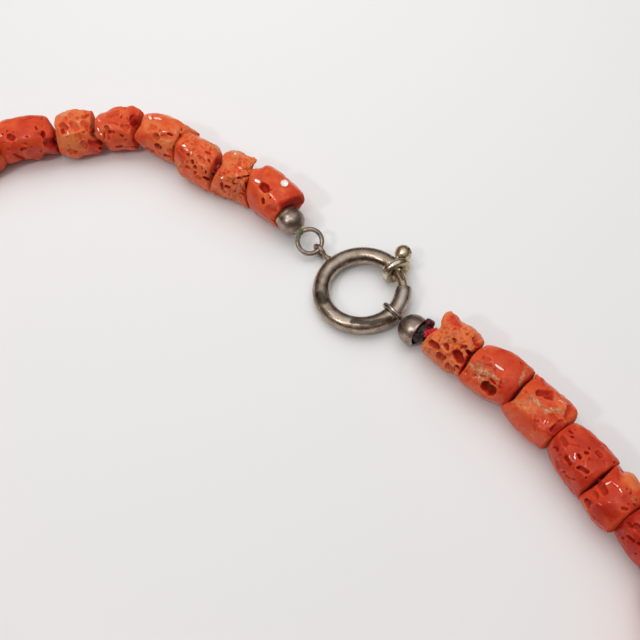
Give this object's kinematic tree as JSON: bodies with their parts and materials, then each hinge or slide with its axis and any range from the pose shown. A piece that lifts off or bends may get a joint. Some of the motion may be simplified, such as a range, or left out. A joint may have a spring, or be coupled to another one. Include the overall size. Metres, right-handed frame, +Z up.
{
  "type": "coral bead necklace with bolt ring clasp",
  "caption": "String of drilled, weathered coral beads closed by a large bolt ring, whose sliding bolt has a ball knob; domed end cups and wire loops join string and ring.",
  "frame": {"origin": "on the surface that the necklace lies on, at the middle of its bounding box seen from above", "axes": "+Z up; +Y away from the viewer of the picture, +X to the viewer's right; the clasp is near +X +Y"},
  "size_m": [0.1742, 0.1612, 0.0116],
  "materials": {
    "coral": "polished and weathered, with open pits",
    "tarnished_silver": "worn and tarnished, warm brown-grey",
    "worn_brass": "worn, brassy silver alloy",
    "red_thread": "twisted cotton",
    "blackened_thread": "hardened, blackened knot"
  },
  "bodies": {
    "necklace": {"clasp_ring": "tarnished_silver", "left_cup": "tarnished_silver", "right_cup": "tarnished_silver", "waxed_knot": "blackened_thread", "thread": "red_thread", "coral_bead_01": "coral", "coral_bead_02": "coral", "coral_bead_03": "coral", "coral_bead_04": "coral", "coral_bead_05": "coral", "coral_bead_06": "coral", "coral_bead_07": "coral", "coral_bead_08": "coral", "coral_bead_09": "coral", "coral_bead_10": "coral", "coral_bead_11": "coral", "coral_bead_12": "coral", "coral_bead_13": "coral", "coral_bead_14": "coral", "coral_bead_15": "coral", "coral_bead_16": "coral", "coral_bead_17": "coral", "coral_bead_18": "coral", "coral_bead_19": "coral", "coral_bead_20": "coral", "coral_bead_21": "coral", "coral_bead_22": "coral", "coral_bead_23": "coral", "coral_bead_24": "coral", "coral_bead_25": "coral", "coral_bead_26": "coral", "coral_bead_27": "coral", "coral_bead_28": "coral", "coral_bead_29": "coral", "coral_bead_30": "coral", "coral_bead_31": "coral", "coral_bead_32": "coral", "coral_bead_33": "coral", "coral_bead_34": "coral", "coral_bead_35": "coral", "coral_bead_36": "coral", "coral_bead_37": "coral", "coral_bead_38": "coral", "coral_bead_39": "coral"},
    "bolt": {"bolt": "worn_brass"}
  },
  "joints": [
    {"name": "bolt_draw", "type": "hinge", "parent": "necklace", "child": "bolt", "pos_m": [0.02644, 0.03069, 0.00265], "axis": [-0.0741, -0.0199, 0.9971], "range_deg": [0, 32], "stiffness_Nm_per_rad": 0.005, "springref_deg": -20.05}
  ]
}
